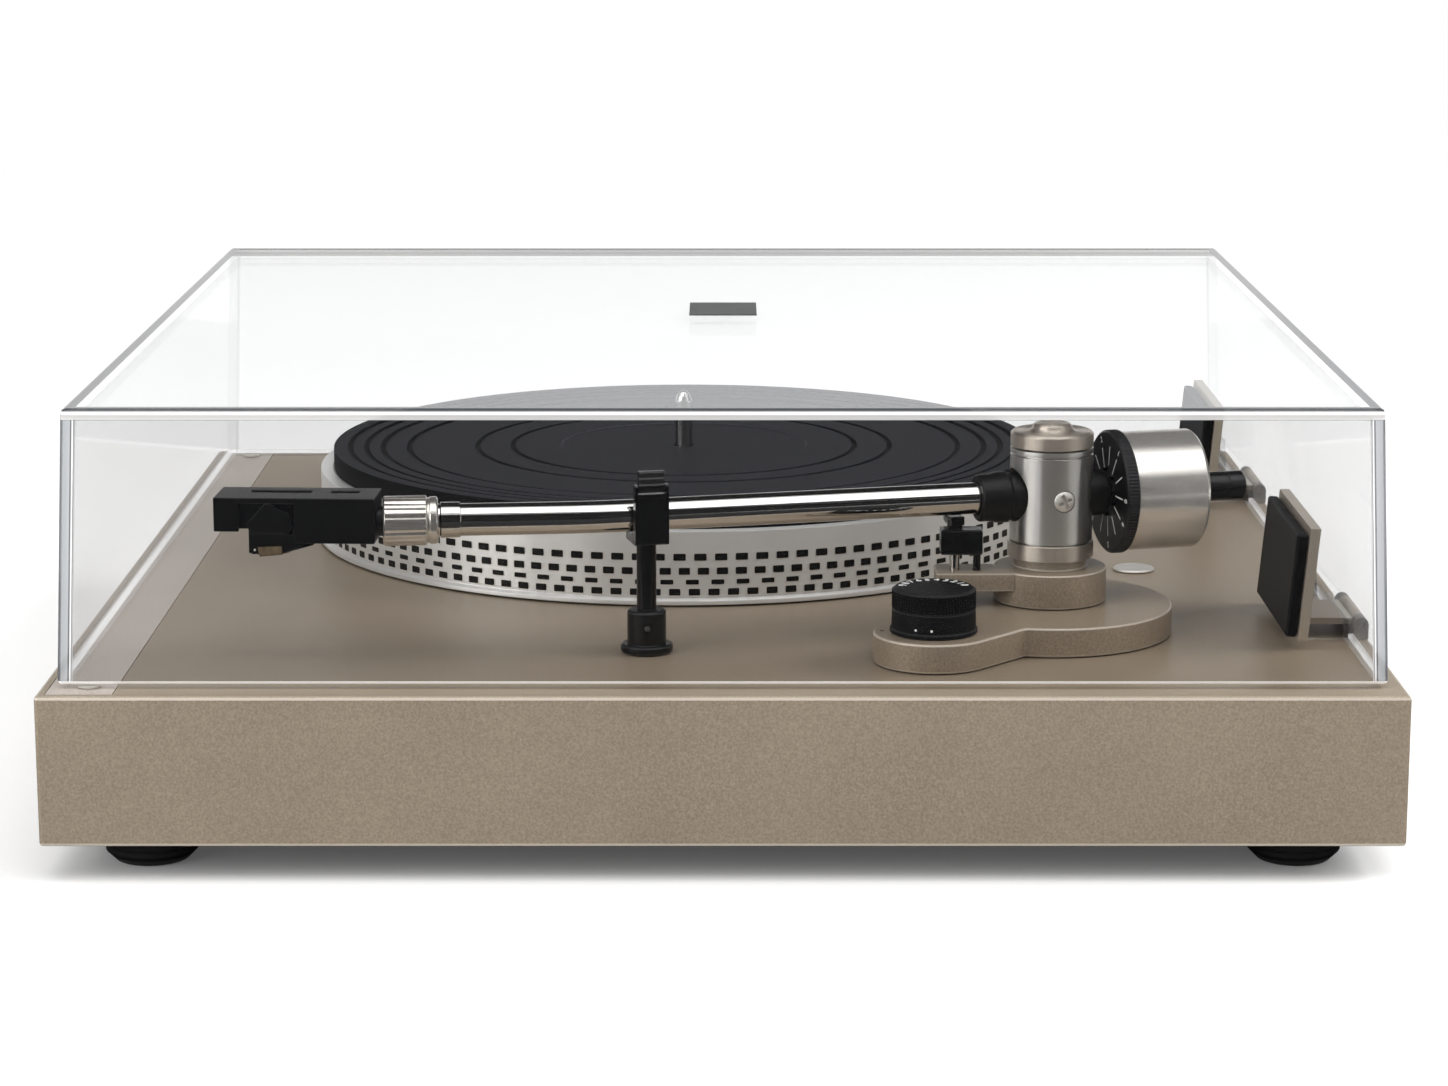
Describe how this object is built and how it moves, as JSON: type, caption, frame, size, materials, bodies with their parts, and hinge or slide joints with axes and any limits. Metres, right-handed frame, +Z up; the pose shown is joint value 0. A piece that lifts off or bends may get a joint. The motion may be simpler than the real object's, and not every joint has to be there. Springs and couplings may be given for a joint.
{
  "type": "turntable",
  "caption": "Automatic turntable with a direct-drive platter, an S-bent tone arm on its rest, a hinged clear dust cover and push keys on the front.",
  "frame": {"origin": "middle of the object's outline, at the soles of the feet", "axes": "+X to the listener's right, +Y to the back, +Z up"},
  "size_m": [0.4582, 0.46, 0.1588],
  "materials": {
    "champagne": "cast aluminium, satin champagne metallic paint, fine grain",
    "strip": "bright brushed trim, champagne",
    "steel": "plain zinc plated steel",
    "rubber": "black moulded rubber, matt",
    "key": "brushed champagne key caps",
    "socket": "black moulded plastic",
    "bright": "polished steel",
    "board": "green laminate",
    "brass": "turned brass",
    "platter": "turned and polished cast aluminium",
    "mat": "black rubber with wide stepped rings",
    "magnet": "dark ferrite",
    "black": "black, fine satin texture",
    "gloss_black": "black, glossy",
    "brushed": "upright brushed aluminium",
    "satin": "satin champagne aluminium",
    "screw": "bright plated screw",
    "chrome": "mirror chrome",
    "stylus": "smoky plastic holder with a fine tip",
    "nylon": "white nylon",
    "gold": "aluminium plate, pale champagne paint",
    "clear": "clear polished acrylic",
    "soft_clear": "soft translucent pad"
  },
  "bodies": {
    "plinth": {"plinth_shell": "champagne", "front_strip": "strip", "bottom_cover": "socket", "foot_front_left": "rubber", "foot_front_right": "rubber", "foot_back_left": "rubber", "foot_back_right": "rubber", "bearing_housing": "brass", "motor_stator": "steel", "transformer": "steel", "circuit_board": "board", "rear_panel": "steel", "phono_sockets": "socket", "ground_post": "bright", "mains_inlet": "socket", "transit_screw": "bright", "arm_base": "champagne", "pivot_collar": "champagne", "lifter_bracket": "champagne", "arm_rest_post": "gloss_black", "arm_rest_cradle": "gloss_black", "hinge_base_left": "steel", "hinge_base_right": "steel", "hinge_pin_left": "bright", "hinge_pin_right": "bright", "cover_bumper_left": "soft_clear", "cover_bumper_right": "soft_clear", "return_motor": "steel"},
    "turning_platter": {"platter": "platter", "platter_mat": "mat", "spindle": "bright", "rotor_magnet": "magnet"},
    "arm_yoke": {"pivot_pillar": "brushed", "pillar_cap": "satin", "arm_shaft": "bright", "return_sector": "brass", "pivot_screw_outer": "screw", "pivot_screw_inner": "screw"},
    "arm": {"arm_coupling": "black", "arm_tube": "chrome", "headshell": "black", "cartridge": "black", "stylus": "stylus", "counterweight_shaft": "gloss_black"},
    "headshell_lock": {"lock_collar": "chrome"},
    "weight": {"counterweight": "chrome"},
    "dial": {"force_dial": "black"},
    "lifter": {"cue_lifter": "black"},
    "rest_clip": {"arm_rest_clip": "gloss_black"},
    "antiskate": {"antiskate_knob": "black"},
    "cover": {"dust_cover": "clear", "hinge_leaf_left": "gold", "hinge_leaf_right": "gold", "hinge_cap_left": "black", "hinge_cap_right": "black"},
    "start": {"start_key": "key"},
    "stop": {"stop_key": "key"},
    "speed": {"speed_key": "key"},
    "cue": {"cue_key": "key"},
    "return_drive": {"return_gear": "nylon"}
  },
  "joints": [
    {"name": "platter_spin", "type": "hinge", "parent": "plinth", "child": "turning_platter", "pos_m": [-0.05405, -0.01601, 0.064], "axis": [0, 0, 1], "continuous": true},
    {"name": "arm_swing", "type": "hinge", "parent": "plinth", "child": "arm_yoke", "pos_m": [0.12705, 0.11751, 0.064], "axis": [0, 0, -1], "range_deg": [0, 60]},
    {"name": "arm_tilt", "type": "hinge", "parent": "arm_yoke", "child": "arm", "pos_m": [0.12705, 0.11751, 0.113], "axis": [-0.969, -0.247, 0], "range_deg": [0, 6]},
    {"name": "lock_collar_turn", "type": "hinge", "parent": "arm", "child": "headshell_lock", "pos_m": [0.17523, -0.11733, 0.113], "axis": [0.0924, -0.9957, 0], "range_deg": [0, 30]},
    {"name": "counterweight_slide", "type": "slide", "parent": "arm", "child": "weight", "axis": [-0.247, 0.969, 0], "range_m": [-0.002, 0.01]},
    {"name": "dial_turn", "type": "hinge", "parent": "weight", "child": "dial", "pos_m": [0.12705, 0.11751, 0.113], "axis": [-0.247, 0.969, 0], "range_deg": [-200, 920]},
    {"name": "lifter_rise", "type": "slide", "parent": "plinth", "child": "lifter", "axis": [0, 0, 1], "range_m": [0, 0.0036]},
    {"name": "rest_clip_close", "type": "hinge", "parent": "plinth", "child": "rest_clip", "pos_m": [0.17131, -0.02477, 0.12325], "axis": [0.247, -0.969, 0], "range_deg": [0, 85]},
    {"name": "antiskate_turn", "type": "hinge", "parent": "plinth", "child": "antiskate", "pos_m": [0.17851, 0.07299, 0.064], "axis": [0, 0, 1], "range_deg": [0, 270]},
    {"name": "cover_open", "type": "hinge", "parent": "plinth", "child": "cover", "pos_m": [0, 0.22681, 0.0696], "axis": [-1, 0, 0], "range_deg": [0, 60]},
    {"name": "start_key_press", "type": "slide", "parent": "plinth", "child": "start", "axis": [0, 1, 0], "range_m": [0, 0.002], "stiffness_N_per_m": 150, "springref_m": -0.004},
    {"name": "stop_key_press", "type": "slide", "parent": "plinth", "child": "stop", "axis": [0, 1, 0], "range_m": [0, 0.002], "stiffness_N_per_m": 150, "springref_m": -0.004},
    {"name": "speed_key_press", "type": "slide", "parent": "plinth", "child": "speed", "axis": [0, 1, 0], "range_m": [0, 0.002], "stiffness_N_per_m": 150, "springref_m": -0.004},
    {"name": "cue_key_press", "type": "slide", "parent": "plinth", "child": "cue", "axis": [0, 1, 0], "range_m": [0, 0.002]},
    {"name": "return_gear_turn", "type": "hinge", "parent": "plinth", "child": "return_drive", "pos_m": [0.08505, 0.11751, 0.064], "axis": [0, 0, -1], "range_deg": [-361, 1]}
  ],
  "couplings": [
    {"joint": "return_gear_turn", "follows": "arm_swing", "ratio": -6},
    {"joint": "lifter_rise", "follows": "arm_tilt", "m_per_rad": 0.033},
    {"joint": "cue_key_press", "follows": "arm_tilt", "m_per_rad": 0.019},
    {"joint": "dial_turn", "follows": "counterweight_slide", "rad_per_m": 1570.8}
  ]
}
